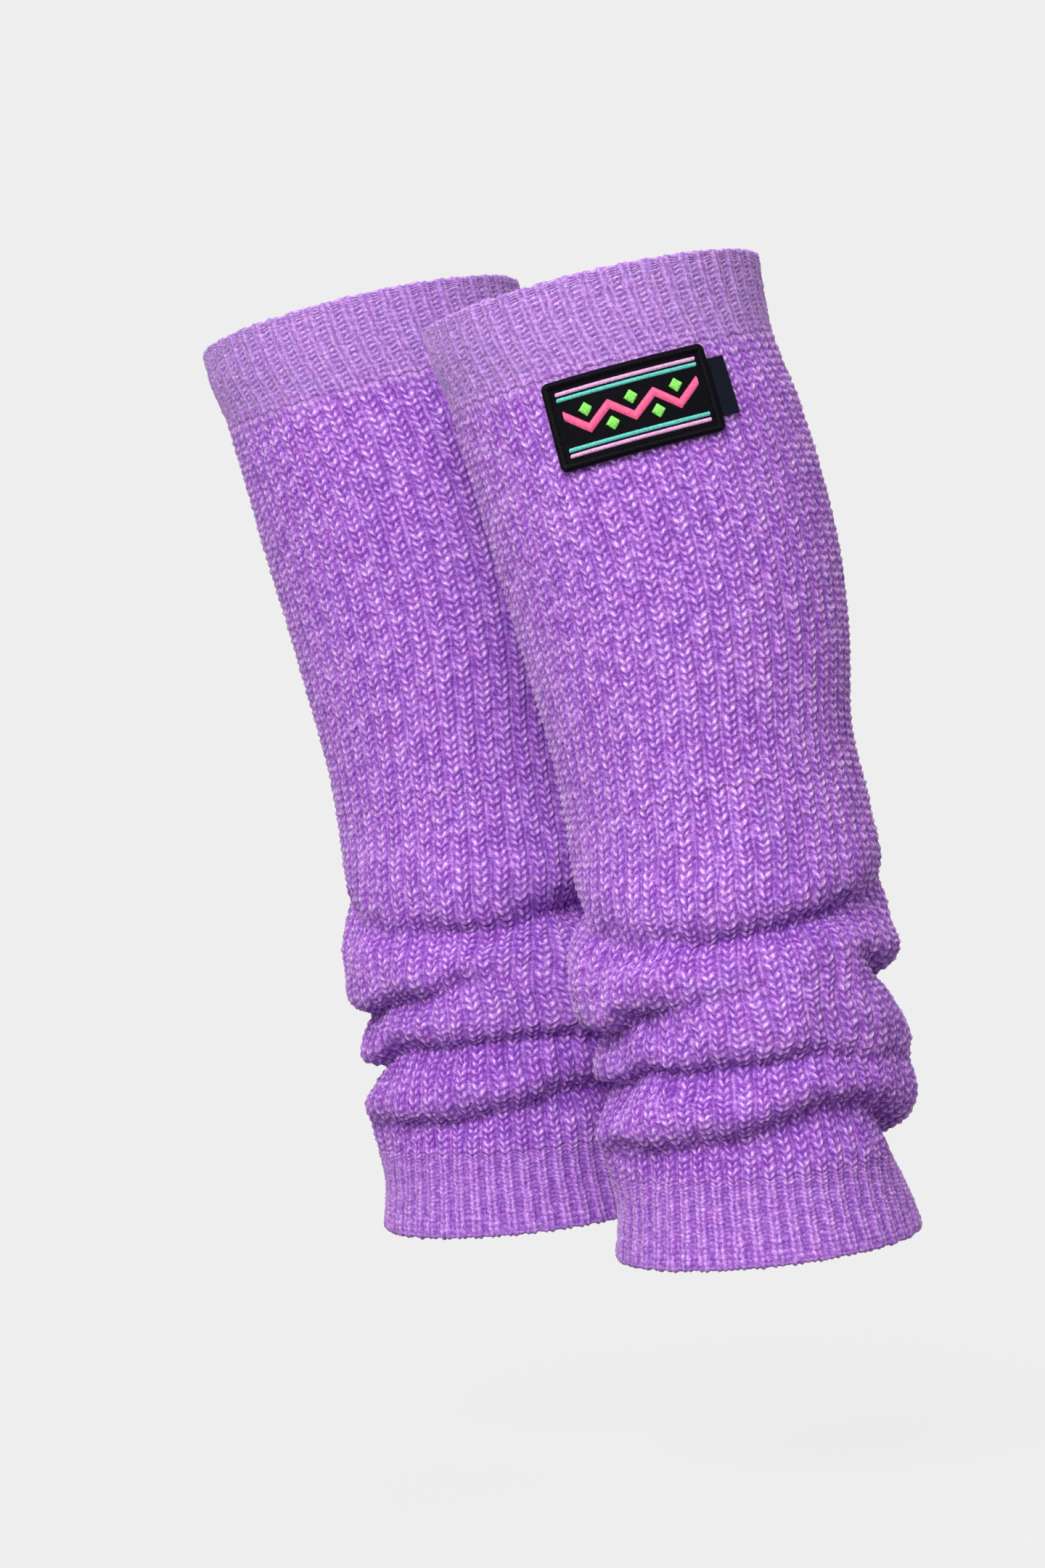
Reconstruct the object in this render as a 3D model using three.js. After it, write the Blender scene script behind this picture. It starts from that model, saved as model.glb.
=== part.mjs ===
// A pair of slouchy knitted leg warmers, filled out as they are when worn on two standing legs.
// Each one is a rib-knit tube with a knee rib, a long leg whose lower half is pushed down into
// slanting folds, and a flared ankle rib. The near one carries an embroidered patch with a side tab.
// Units are millimetres and degrees, +Z is up and -Y faces the viewer.
// The origin is the centre of the near knee opening, where the wearer's calf holds the cloth.
import * as THREE from "three";

// Knit and cloth
const RIBS = 50; // ribs round the tube, from knee to ankle
const CLOTH = 2.6; // wall under the ribs
const RIB_HEIGHT = 1.1; // crest of a rib over the valley beside it
const SEAM_GAP = 0.3; // clearance between neighbouring pieces

// The pair as worn
const LEAN = 10.5; // tilt of both legs from upright, knees towards -X
const FAR_PLACE = new THREE.Vector3(-87, 115, 1.8); // far knee opening from the near one
const SAG = 0.4; // how far a ridge hangs down for each millimetre it stands out of its crease

// Edges and seams: distance down the leg at the middle, and how much lower the edge runs at the
// right and at the front than there.
const EDGES = {
  kneeOpening: { down: 0, right: -2.8, front: -3.3 },
  kneeSeam: { down: 31.5, right: -4, front: 0 },
  ankleSeam: { down: 320, right: 4, front: 4 },
  ankleHem: { down: 348, right: 4, front: 4 },
};

// The cloth's outside over its ridges. A row is a level down the leg: how far the tube's middle
// stands to the right of the straight axis, the reach from that middle to each side, and how far
// the ribs have turned round the leg, in degrees.
const SECTIONS = [
  { down: -8, middle: 0, left: 62.4, right: 62.2, front: 61.5, back: 62, turn: -1 },
  { down: 14, middle: 0.3, left: 61.6, right: 61.0, front: 60.5, back: 61.5, turn: 2 },
  { down: 30, middle: 2.2, left: 59.9, right: 60.0, front: 59.5, back: 61, turn: 5 },
  { down: 50, middle: 5.0, left: 60.4, right: 61.4, front: 60, back: 64, turn: 7 },
  { down: 80, middle: 8.6, left: 61.1, right: 61.4, front: 60, back: 66, turn: 8 },
  { down: 110, middle: 10.8, left: 59.9, right: 60.4, front: 59, back: 65, turn: 8 },
  { down: 140, middle: 11.2, left: 57.4, right: 57.5, front: 57, back: 62, turn: 7 },
  { down: 170, middle: 10.1, left: 53.7, right: 53.8, front: 54.5, back: 58, turn: 5 },
  { down: 200, middle: 9.8, left: 54.2, right: 55.6, front: 55, back: 56, turn: 3 },
  { down: 225, middle: 8.4, left: 57.6, right: 57.2, front: 58, back: 58, turn: 1 },
  { down: 250, middle: 6.6, left: 60.4, right: 58.4, front: 59, back: 60, turn: 0 },
  { down: 275, middle: 5.8, left: 58.6, right: 60.0, front: 58.5, back: 59, turn: -1 },
  { down: 298, middle: 4.6, left: 62.0, right: 59.0, front: 58.5, back: 58.5, turn: -2 },
  { down: 318, middle: 2.6, left: 53.8, right: 55.4, front: 53, back: 55, turn: -2 },
  { down: 330, middle: 1.2, left: 52.0, right: 52.4, front: 52, back: 53, turn: -2 },
  { down: 356, middle: -0.4, left: 57.4, right: 56.8, front: 56.5, back: 56, turn: -2 },
];

// The creases between the slouched ridges, from the calf to the ankle. Each runs right round the
// leg. `down` is where it shows and `depth` how deep it lies under the ridges, at eight azimuths.
// `above` and `below` are how far its slopes reach up and down the leg.
const CREASES = [
  {
    above: 12,
    below: 6,
    down: { left: 212, frontLeft: 229, front: 232.5, frontRight: 230,
      right: 228, backRight: 222, back: 227, backLeft: 219 },
    depth: { left: 5, frontLeft: 5, front: 7, frontRight: 9,
      right: 3, backRight: 6, back: 8, backLeft: 6 },
  },
  {
    above: 6,
    below: 8,
    down: { left: 264, frontLeft: 258.5, front: 253, frontRight: 250,
      right: 260.5, backRight: 260, back: 254, backLeft: 258 },
    depth: { left: 10, frontLeft: 9, front: 1.8, frontRight: 2,
      right: 15, backRight: 8, back: 3, backLeft: 8 },
  },
  {
    above: 6,
    below: 8,
    down: { left: 283, frontLeft: 276.5, front: 280, frontRight: 286,
      right: 291, backRight: 285, back: 279, backLeft: 282 },
    depth: { left: 14, frontLeft: 10, front: 7, frontRight: 5,
      right: 1.5, backRight: 7, back: 10, backLeft: 11 },
  },
  {
    above: 6,
    below: 9,
    down: { left: 302.5, frontLeft: 302.6, front: 302.3, frontRight: 301,
      right: 318, backRight: 312, back: 305, backLeft: 304 },
    depth: { left: 4, frontLeft: 6.5, front: 6.5, frontRight: 9,
      right: 9.5, backRight: 8, back: 7, backLeft: 6 },
  },
];
const CREASE_ROUNDNESS = 1.6; // power of the crease's bell: 1 is a sharp fold, 2 a soft trough
const AZIMUTH_NAMES = [
  "front", "frontRight", "right", "backRight", "back", "backLeft", "left", "frontLeft",
];

// Patch and its side tab
const PATCH = {
  width: 60, // round the leg
  height: 32,
  down: 46.5, // its centre
  azimuth: 0.9,
  turn: 4.4, // its right end is raised
  seat: 0.45, // clearance over the rib crests at its own points
  ground: 1.3, // woven ground's thickness
  border: 2.1, // overlocked edge's height
  edge: 0.9, // height of the edge's outer side
  borderWidth: 3,
  corner: 2.5, // corner radius
};
const TAB = { reach: 7.2, height: 21, thick: 1.0, below: 0.5 }; // folded ribbon held by the patch's edge

const FULL_TURN = 2 * Math.PI;
const radians = THREE.MathUtils.degToRad;

// Smooth curve through the column of a table, by the distance down the leg.
function column(name, down) {
  const last = SECTIONS.length - 1;
  let i = SECTIONS.findIndex((row) => row.down > down) - 1;
  if (i < 0) i = down < SECTIONS[0].down ? 0 : last - 1;
  const row = (k) => SECTIONS[THREE.MathUtils.clamp(k, 0, last)];
  const slope = (k) => {
    const span = row(k + 1).down - row(k - 1).down;
    return (row(k + 1)[name] - row(k - 1)[name]) / span;
  };
  const step = row(i + 1).down - row(i).down;
  const t = (down - row(i).down) / step;
  return hermite(row(i)[name], row(i + 1)[name], slope(i) * step, slope(i + 1) * step, t);
}

function hermite(from, to, slopeFrom, slopeTo, t) {
  const t2 = t * t;
  const t3 = t2 * t;
  return (
    from * (2 * t3 - 3 * t2 + 1) +
    to * (3 * t2 - 2 * t3) +
    slopeFrom * (t3 - 2 * t2 + t) +
    slopeTo * (t3 - t2)
  );
}

// Smooth closed curve through eight values round the leg.
function around(values, azimuth) {
  const count = AZIMUTH_NAMES.length;
  const place = (((azimuth / FULL_TURN) % 1) + 1) * count;
  const i = Math.floor(place);
  const at = (k) => values[AZIMUTH_NAMES[(k + count) % count]];
  return hermite(
    at(i),
    at(i + 1),
    (at(i + 1) - at(i - 1)) / 2,
    (at(i + 2) - at(i)) / 2,
    place - i,
  );
}

const edgeDown = (edge, azimuth) =>
  edge.down + edge.right * Math.sin(azimuth) + edge.front * Math.cos(azimuth);

// A crease's own level, before its cloth is drawn up by the sag of the ridges beside it.
const creaseDown = (crease, azimuth) =>
  around(crease.down, azimuth) + SAG * around(crease.depth, azimuth);

// How far the creases draw the cloth in from the outside of the ridges.
function drawnIn(azimuth, down) {
  let depth = 0;
  for (const crease of CREASES) {
    const from = down - creaseDown(crease, azimuth);
    const reach = from < 0 ? crease.above : crease.below;
    const share = Math.exp(-Math.pow(Math.abs(from) / reach, CREASE_ROUNDNESS));
    depth += around(crease.depth, azimuth) * share;
  }
  return depth;
}

// A point on the outside of the cloth, between rib crest and valley.
function clothPoint(azimuth, down) {
  const [sine, cosine] = [Math.sin(azimuth), Math.cos(azimuth)];
  const side = column(sine < 0 ? "left" : "right", down);
  const face = column(cosine < 0 ? "back" : "front", down);
  const inward = drawnIn(azimuth, down);
  const radius = side * sine * sine + face * cosine * cosine - inward;
  return new THREE.Vector3(
    column("middle", down) + radius * sine,
    -radius * cosine,
    -(down - SAG * inward),
  );
}

function clothNormal(azimuth, down) {
  const [turnStep, downStep] = [0.01, 0.4];
  const round = clothPoint(azimuth + turnStep, down).sub(clothPoint(azimuth - turnStep, down));
  const along = clothPoint(azimuth, down + downStep).sub(clothPoint(azimuth, down - downStep));
  return along.cross(round).normalize();
}

const clothOffset = (azimuth, down, out) =>
  clothPoint(azimuth, down).addScaledVector(clothNormal(azimuth, down), out);

// Where a rib runs at one row of a piece: its azimuth turns with the twist of the knit.
function ribPlace(share, row) {
  const straight = share * FULL_TURN;
  const level = row(straight);
  const azimuth = straight + radians(column("turn", level));
  return [azimuth, row(azimuth)];
}

// Rows of a piece lie between two edges, crowded by `shares` of the way from one to the other.
const rowsBetween = (from, to, shares) =>
  shares.map((share) => (azimuth) => from(azimuth) + (to(azimuth) - from(azimuth)) * share);

// One tube of rib knit: crests and valleys outside, plain inside, closed by a rim at each end.
function knitTube(rows) {
  const outside = rows.map((row) =>
    Array.from({ length: 2 * RIBS }, (_, i) => {
      const [azimuth, down] = ribPlace(i / (2 * RIBS), row);
      return clothOffset(azimuth, down, ((i % 2) - 0.5) * RIB_HEIGHT);
    }),
  );
  const inside = rows.map((row) =>
    Array.from({ length: RIBS }, (_, i) => {
      const [azimuth, down] = ribPlace(i / RIBS, row);
      return clothOffset(azimuth, down, -CLOTH);
    }),
  );
  const points = [...outside, ...inside].flat();
  const outer = (row, i) => row * 2 * RIBS + (i % (2 * RIBS));
  const inner = (row, i) => rows.length * 2 * RIBS + row * RIBS + (i % RIBS);
  const last = rows.length - 1;
  const faces = [];
  for (let row = 0; row < last; row++) {
    for (let i = 0; i < 2 * RIBS; i++)
      faces.push(...quad(outer(row + 1, i), outer(row + 1, i + 1), outer(row, i + 1), outer(row, i)));
    for (let i = 0; i < RIBS; i++)
      faces.push(...quad(inner(row, i), inner(row, i + 1), inner(row + 1, i + 1), inner(row + 1, i)));
  }
  for (let i = 0; i < RIBS; i++) {
    faces.push(...rim(outer, inner, 0, i));
    faces.push(...rim(outer, inner, last, i).reverse());
  }
  return closedGeometry(points, faces);
}

const quad = (a, b, c, d) => [a, b, c, a, c, d];

// The three faces of a rim between one inner edge and the two outer edges beside it.
function rim(outer, inner, row, i) {
  const [a, b, c] = [outer(row, 2 * i), outer(row, 2 * i + 1), outer(row, 2 * i + 2)];
  const [d, e] = [inner(row, i), inner(row, i + 1)];
  return [a, b, d, b, c, e, b, e, d];
}

function closedGeometry(points, faces) {
  const geometry = new THREE.BufferGeometry().setFromPoints(points);
  geometry.setIndex(faces);
  geometry.computeVertexNormals();
  return geometry;
}

const edge = (name, gap = 0) => (azimuth) => edgeDown(EDGES[name], azimuth) + gap;
const crease = (index) => (azimuth) => creaseDown(CREASES[index], azimuth);

const kneeRib = () =>
  knitTube(rowsBetween(edge("kneeOpening"), edge("kneeSeam", -SEAM_GAP / 2), [0, 0.5, 1]));

const ankleRib = () =>
  knitTube(rowsBetween(edge("ankleSeam", SEAM_GAP / 2), edge("ankleHem"), [0, 0.5, 1]));

// The leg's rows gather at its creases, where the cloth turns most.
function leg() {
  const calf = [0, 0.12, 0.26, 0.41, 0.56, 0.71, 0.85, 0.94];
  const ridge = [0, 0.16, 0.42, 0.8];
  const ankle = [0, 0.4, 1];
  return knitTube([
    ...rowsBetween(edge("kneeSeam", SEAM_GAP / 2), crease(0), calf),
    ...rowsBetween(crease(0), crease(1), ridge),
    ...rowsBetween(crease(1), crease(2), ridge),
    ...rowsBetween(crease(2), crease(3), ridge),
    ...rowsBetween(crease(3), edge("ankleSeam", -SEAM_GAP / 2), ankle),
  ]);
}

// Where a point of the patch lies: `across` runs to the right and `up` towards the knee. The patch
// stays square where the tube's middle sways.
function patchPlace(across, up, out) {
  const turn = radians(PATCH.turn);
  const right = across * Math.cos(turn) - up * Math.sin(turn);
  const raised = across * Math.sin(turn) + up * Math.cos(turn);
  const down = PATCH.down - raised;
  const sway = column("middle", down) - column("middle", PATCH.down);
  const azimuth = radians(PATCH.azimuth) + (right - sway) / column("front", PATCH.down);
  return clothOffset(azimuth, down, RIB_HEIGHT / 2 + PATCH.seat + out);
}

// A thin slab laid on the cloth: a grid of places with the height of its top at each.
function laidSlab(acrossList, upList, place, topHeight) {
  const [columns, rows] = [acrossList.length, upList.length];
  const layer = (height) =>
    upList.flatMap((up, j) => acrossList.map((across, i) => place(across, up, height(i, j))));
  const points = [...layer(topHeight), ...layer(() => 0)];
  const top = (i, j) => j * columns + i;
  const under = (i, j) => columns * rows + top(i, j);
  const faces = [];
  for (let j = 0; j + 1 < rows; j++)
    for (let i = 0; i + 1 < columns; i++) {
      faces.push(...quad(top(i, j), top(i + 1, j), top(i + 1, j + 1), top(i, j + 1)));
      faces.push(...quad(under(i, j), under(i, j + 1), under(i + 1, j + 1), under(i + 1, j)));
    }
  const [right, high] = [columns - 1, rows - 1];
  for (let i = 0; i < right; i++) {
    faces.push(...quad(under(i, 0), under(i + 1, 0), top(i + 1, 0), top(i, 0)));
    faces.push(...quad(under(i + 1, high), under(i, high), top(i, high), top(i + 1, high)));
  }
  for (let j = 0; j < high; j++) {
    faces.push(...quad(under(right, j), under(right, j + 1), top(right, j + 1), top(right, j)));
    faces.push(...quad(under(0, j + 1), under(0, j), top(0, j), top(0, j + 1)));
  }
  return closedGeometry(points, faces);
}

// The patch: a woven ground inside a raised, overlocked edge with rounded corners.
function patch() {
  const lines = (half, count) => {
    const inner = half - PATCH.borderWidth;
    const middle = Array.from({ length: count + 1 }, (_, i) => -inner + (2 * inner * i) / count);
    const crest = half - PATCH.borderWidth / 2;
    return [-half, -crest, ...middle, crest, half];
  };
  const [acrossList, upList] = [lines(PATCH.width / 2, 8), lines(PATCH.height / 2, 3)];
  const heights = [PATCH.edge, PATCH.border, PATCH.ground];
  const ring = (i, count) => Math.min(i, count - 1 - i);
  const topHeight = (i, j) =>
    heights[Math.min(ring(i, acrossList.length), ring(j, upList.length), heights.length - 1)];
  const [halfWidth, halfHeight] = [PATCH.width / 2, PATCH.height / 2];
  const cut = PATCH.corner * (1 - Math.SQRT1_2);
  const place = (across, up, out) => {
    const corner = Math.abs(across) === halfWidth && Math.abs(up) === halfHeight;
    const pull = corner ? cut : 0;
    return patchPlace(across - Math.sign(across) * pull, up - Math.sign(up) * pull, out);
  };
  return laidSlab(acrossList, upList, place, topHeight);
}

function sideTab() {
  const start = PATCH.width / 2 + SEAM_GAP;
  const acrossList = [0, 0.5, 1].map((share) => start + TAB.reach * share);
  const upList = [-0.5, -0.17, 0.17, 0.5].map((share) => TAB.height * share - TAB.below);
  return laidSlab(acrossList, upList, patchPlace, () => TAB.thick);
}

const materials = {
  knit: () => new THREE.MeshStandardMaterial({ color: "#a866d6", roughness: 0.95, metalness: 0 }),
  thread: () => new THREE.MeshStandardMaterial({ color: "#14121c", roughness: 0.7, metalness: 0 }),
  ribbon: () => new THREE.MeshStandardMaterial({ color: "#161a2b", roughness: 0.5, metalness: 0 }),
};

function piece(name, geometry, material) {
  const mesh = new THREE.Mesh(geometry, material);
  mesh.name = name;
  return mesh;
}

// One leg warmer, leaning with its leg. Its own origin is the middle of its knee opening.
function legWarmer(side) {
  const group = new THREE.Group();
  group.rotation.y = -radians(LEAN);
  group.add(
    piece(`${side}_knee_rib`, kneeRib(), materials.knit()),
    piece(`${side}_leg`, leg(), materials.knit()),
    piece(`${side}_ankle_rib`, ankleRib(), materials.knit()),
  );
  return group;
}

const near = legWarmer("near");
near.add(piece("patch", patch(), materials.thread()), piece("side_tab", sideTab(), materials.ribbon()));

const far = legWarmer("far");
far.position.copy(FAR_PLACE);

const pair = new THREE.Group();
pair.add(near, far);

export default pair;
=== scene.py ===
import functools
import math

import bmesh
import bpy
import numpy as np
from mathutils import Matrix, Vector


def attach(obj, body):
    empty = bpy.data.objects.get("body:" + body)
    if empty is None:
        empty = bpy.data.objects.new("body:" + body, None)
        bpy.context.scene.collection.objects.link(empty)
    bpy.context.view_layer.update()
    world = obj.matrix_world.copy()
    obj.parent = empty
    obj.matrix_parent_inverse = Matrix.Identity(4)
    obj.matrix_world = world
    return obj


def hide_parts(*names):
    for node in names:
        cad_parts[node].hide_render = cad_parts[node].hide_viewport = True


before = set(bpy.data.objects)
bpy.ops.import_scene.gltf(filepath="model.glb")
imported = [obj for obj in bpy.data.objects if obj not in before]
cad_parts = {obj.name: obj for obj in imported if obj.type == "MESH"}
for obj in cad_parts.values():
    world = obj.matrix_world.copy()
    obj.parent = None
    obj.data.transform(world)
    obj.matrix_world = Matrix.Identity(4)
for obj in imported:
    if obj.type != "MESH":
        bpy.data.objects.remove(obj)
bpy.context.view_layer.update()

# View
# The camera stands 1.9 m in front of the near leg warmer, level with the middle of the pair, and
# takes in the photograph's whole height of 568 mm. The scene's colours are shown as they are.
CAMERA_DISTANCE = 1.9
VIEW_CENTRE = (-0.025, -0.177)  # right and up from the near knee opening
VIEW_HEIGHT = 0.568


def add_object(name, data):
    """An object of its own, in the scene."""
    added = bpy.data.objects.new(name, data)
    bpy.context.collection.objects.link(added)
    return added


camera = add_object("camera", bpy.data.cameras.new("camera"))
camera.location = (VIEW_CENTRE[0], -CAMERA_DISTANCE, VIEW_CENTRE[1])
camera.rotation_euler = (math.radians(90), 0, 0)
camera.data.sensor_width = 36
camera.data.lens = camera.data.sensor_width * CAMERA_DISTANCE / VIEW_HEIGHT
bpy.context.scene.camera = camera
bpy.context.scene.view_settings.view_transform = "Standard"


# Knitted tubes
# Each leg warmer is one rib-knit tube of soft acrylic yarn, worked in three parts: a 1x1 rib at the
# knee, a long leg of raised stitch columns and a flared 1x1 rib at the ankle. Worn on a leg, its
# lower half is pushed down and lies in slanting folds. Lengths here are millimetres.
MM = 0.001
FULL_TURN = 2 * math.pi
RIBS = 50
CLOTH = 2.6
LEAN = math.radians(10.5)
SAG = 0.4  # how far a ridge hangs down for each millimetre it stands out of its crease
PLACES = {"near": np.zeros(3), "far": np.array([-87, 115, 1.8])}

# Distance down the leg of each edge and seam, and how much lower it runs at the right and front
EDGES = {
    "knee_opening": dict(down=1.2, right=-2.8, front=-3.3),
    "knee_seam": dict(down=31.5, right=-4, front=0),
    "ankle_seam": dict(down=320, right=4, front=4),
    "ankle_hem": dict(down=346.8, right=4, front=4),
}

# The cloth over its ridges: the tube's middle, its reach to each side and the turn of its ribs
SECTIONS = [
    dict(down=-8, middle=0, left=62.4, right=62.2, front=61.5, back=62, turn=-1),
    dict(down=14, middle=0.3, left=61.6, right=61.0, front=60.5, back=61.5, turn=2),
    dict(down=30, middle=2.2, left=59.9, right=60.0, front=59.5, back=61, turn=5),
    dict(down=50, middle=5.0, left=60.4, right=61.4, front=60, back=64, turn=7),
    dict(down=80, middle=8.6, left=61.1, right=61.4, front=60, back=66, turn=8),
    dict(down=110, middle=10.8, left=59.9, right=60.4, front=59, back=65, turn=8),
    dict(down=140, middle=11.2, left=57.4, right=57.5, front=57, back=62, turn=7),
    dict(down=170, middle=10.1, left=53.7, right=53.8, front=54.5, back=58, turn=5),
    dict(down=200, middle=9.8, left=54.2, right=55.6, front=55, back=56, turn=3),
    dict(down=225, middle=8.4, left=57.6, right=57.2, front=58, back=58, turn=1),
    dict(down=250, middle=6.6, left=60.4, right=58.4, front=59, back=60, turn=0),
    dict(down=275, middle=5.8, left=58.6, right=60.0, front=58.5, back=59, turn=-1),
    dict(down=298, middle=4.6, left=62.0, right=59.0, front=58.5, back=58.5, turn=-2),
    dict(down=318, middle=2.6, left=53.8, right=55.4, front=53, back=55, turn=-2),
    dict(down=330, middle=1.2, left=52.0, right=52.4, front=52, back=53, turn=-2),
    dict(down=356, middle=-0.4, left=57.4, right=56.8, front=56.5, back=56, turn=-2),
]

# The creases between the slouched ridges: where each lies and how deep, at eight azimuths
AZIMUTHS = ["front", "front_right", "right", "back_right", "back", "back_left", "left", "front_left"]
CREASES = [
    dict(
        above=8, below=6,
        down=dict(left=220, front_left=234, front=237, front_right=233,
                  right=228, back_right=222, back=227, back_left=219),
        depth=dict(left=5, front_left=5, front=7, front_right=9,
                   right=3, back_right=6, back=8, back_left=6),
    ),
    dict(
        above=6, below=8,
        down=dict(left=264, front_left=260.5, front=256, front_right=252,
                  right=260.5, back_right=260, back=254, back_left=258),
        depth=dict(left=10, front_left=9, front=1.8, front_right=2,
                   right=15, back_right=8, back=3, back_left=8),
    ),
    dict(
        above=6, below=8,
        down=dict(left=283, front_left=280, front=283, front_right=287,
                  right=291, back_right=285, back=279, back_left=282),
        depth=dict(left=14, front_left=10, front=7, front_right=5,
                   right=1.5, back_right=7, back=10, back_left=11),
    ),
    dict(
        above=6, below=9,
        down=dict(left=303, front_left=306, front=306, front_right=303,
                  right=318, back_right=312, back=305, back_left=304),
        depth=dict(left=4, front_left=6.5, front=6.5, front_right=9,
                   right=9.5, back_right=8, back=7, back_left=6),
    ),
]
CREASE_ROUNDNESS = 1.6
FULL_FOLD_SHADE_DEPTH = 9  # where the cloth is drawn in this far, the yarn gets its full painted shade, its deepest colour
SLACK_DOWN = [195, 225, 300, 322]  # the cloth is loosest between the middle two distances down
SLACK_SHARE = [0, 1, 1, 0]


def smooth_curve(start, end, start_slope, end_slope, t):
    """The cubic from start to end with the given slopes, a share t of the way along."""
    t2, t3 = t * t, t * t * t
    from_values = start * (2 * t3 - 3 * t2 + 1) + end * (3 * t2 - 2 * t3)
    return from_values + start_slope * (t3 - 2 * t2 + t) + end_slope * (t3 - t2)


def section(name, down):
    """A column of SECTIONS as a smooth curve down the leg."""
    knots = np.array([row["down"] for row in SECTIONS], float)
    values = np.array([row[name] for row in SECTIONS], float)
    last = len(knots) - 1
    before = np.maximum(np.arange(last + 1) - 1, 0)
    after = np.minimum(np.arange(last + 1) + 1, last)
    slopes = (values[after] - values[before]) / (knots[after] - knots[before])
    i = np.clip(np.searchsorted(knots, down, side="right") - 1, 0, last - 1)
    step = knots[i + 1] - knots[i]
    t = (down - knots[i]) / step
    return smooth_curve(values[i], values[i + 1], slopes[i] * step, slopes[i + 1] * step, t)


def around(values, azimuth):
    """Eight values as a smooth closed curve round the leg."""
    ring = np.array([values[name] for name in AZIMUTHS], float)
    place = azimuth / FULL_TURN % 1 * len(ring)
    i = np.floor(place).astype(int)
    before, start, end, after = (ring[(i + k) % len(ring)] for k in (-1, 0, 1, 2))
    return smooth_curve(start, end, (end - before) / 2, (after - start) / 2, place - i)


def edge_down(name, azimuth):
    """How far down the leg an edge or seam lies at an azimuth."""
    edge = EDGES[name]
    return edge["down"] + edge["right"] * np.sin(azimuth) + edge["front"] * np.cos(azimuth)


def drawn_in(azimuth, down):
    """How far the creases draw the cloth in from the outside of the ridges."""
    depth = 0
    for crease in CREASES:
        crease_depth = around(crease["depth"], azimuth)
        away = down - around(crease["down"], azimuth) - SAG * crease_depth
        reach = np.where(away < 0, crease["above"], crease["below"])
        depth = depth + crease_depth * np.exp(-np.abs(away / reach) ** CREASE_ROUNDNESS)
    return depth


def cloth_point(azimuth, down):
    """A point of the cloth on an upright leg, with the knee opening's centre at zero."""
    sine, cosine = np.sin(azimuth), np.cos(azimuth)
    side = np.where(sine < 0, section("left", down), section("right", down))
    face = np.where(cosine < 0, section("back", down), section("front", down))
    inward = drawn_in(azimuth, down)
    radius = side * sine**2 + face * cosine**2 - inward
    x = section("middle", down) + radius * sine
    return np.stack([x, -radius * cosine, -(down - SAG * inward)], axis=-1)


def cloth_directions(azimuth, down):
    """Unit vectors out of the cloth and down along it."""
    turn_step, down_step = 0.01, 0.4  # radians and millimetres, well under a stitch
    round_leg = cloth_point(azimuth + turn_step, down) - cloth_point(azimuth - turn_step, down)
    along = cloth_point(azimuth, down + down_step) - cloth_point(azimuth, down - down_step)
    along /= np.linalg.norm(along, axis=-1, keepdims=True)
    out = np.cross(along, round_leg)
    return out / np.linalg.norm(out, axis=-1, keepdims=True), along


def worn(points, side, place=True):
    """Leans points or directions with the leg, and moves points to their leg warmer."""
    x, y, z = np.moveaxis(points, -1, 0)
    leaning = [x * math.cos(LEAN) - z * math.sin(LEAN), y, x * math.sin(LEAN) + z * math.cos(LEAN)]
    leaned = np.stack(leaning, axis=-1)
    return (leaned + PLACES[side]) * MM if place else leaned


# One rib, from the purl valley on its left: the stitch column's two yarn legs meet at the middle.
# A course doesn't run level: `leg_lift` and `rib_lift` are how far it rises there above its own
# level, in the leg's wide stitches and in the stretched ribs.
RIB_COLUMNS = [
    dict(at=0.0, leg_lift=2.0, rib_lift=3.2), dict(at=0.09, leg_lift=1.9, rib_lift=3.4),
    dict(at=0.17, leg_lift=1.6, rib_lift=3.6), dict(at=0.33, leg_lift=0.8, rib_lift=3.5),
    dict(at=0.5, leg_lift=0, rib_lift=3.1), dict(at=0.67, leg_lift=1.2, rib_lift=2.8),
    dict(at=0.83, leg_lift=1.9, rib_lift=2.8), dict(at=0.91, leg_lift=2.0, rib_lift=3.0),
]
WALE = np.array([rib + column["at"] for rib in range(RIBS) for column in RIB_COLUMNS])
LEG_LIFT = np.array([column["leg_lift"] for column in RIB_COLUMNS] * RIBS)
RIB_LIFT = np.array([column["rib_lift"] for column in RIB_COLUMNS] * RIBS)
SEAM_BLEND = 12  # the knit changes from rib to leg over this length
ANKLE_SHARE = 0.55  # the ankle rib is less stretched, and looks half like the leg's stitches
FLAT_EDGE = 6  # and a course runs level where it is this close to an opening, or closer
LEG_ROWS = [0, 0.25, 0.5, 0.75]  # the rows of a course: the gap above it, then its round yarn
EDGE_ROWS = [0, 0.33, 0.67]
INNER_STEP = len(RIB_COLUMNS) // 2
ROLL_STEPS = 5
ROLL_COVER = 0.7  # how much of the outside's stitch relief a rolled rim still shows

# Samples of a stitch column's way down, by stretch. The last stretch has one more, for its end.
STRETCHES = [
    ("knee_opening", "knee_seam", 200), ("knee_seam", "ankle_seam", 1500),
    ("ankle_seam", "ankle_hem", 201),
]


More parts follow.
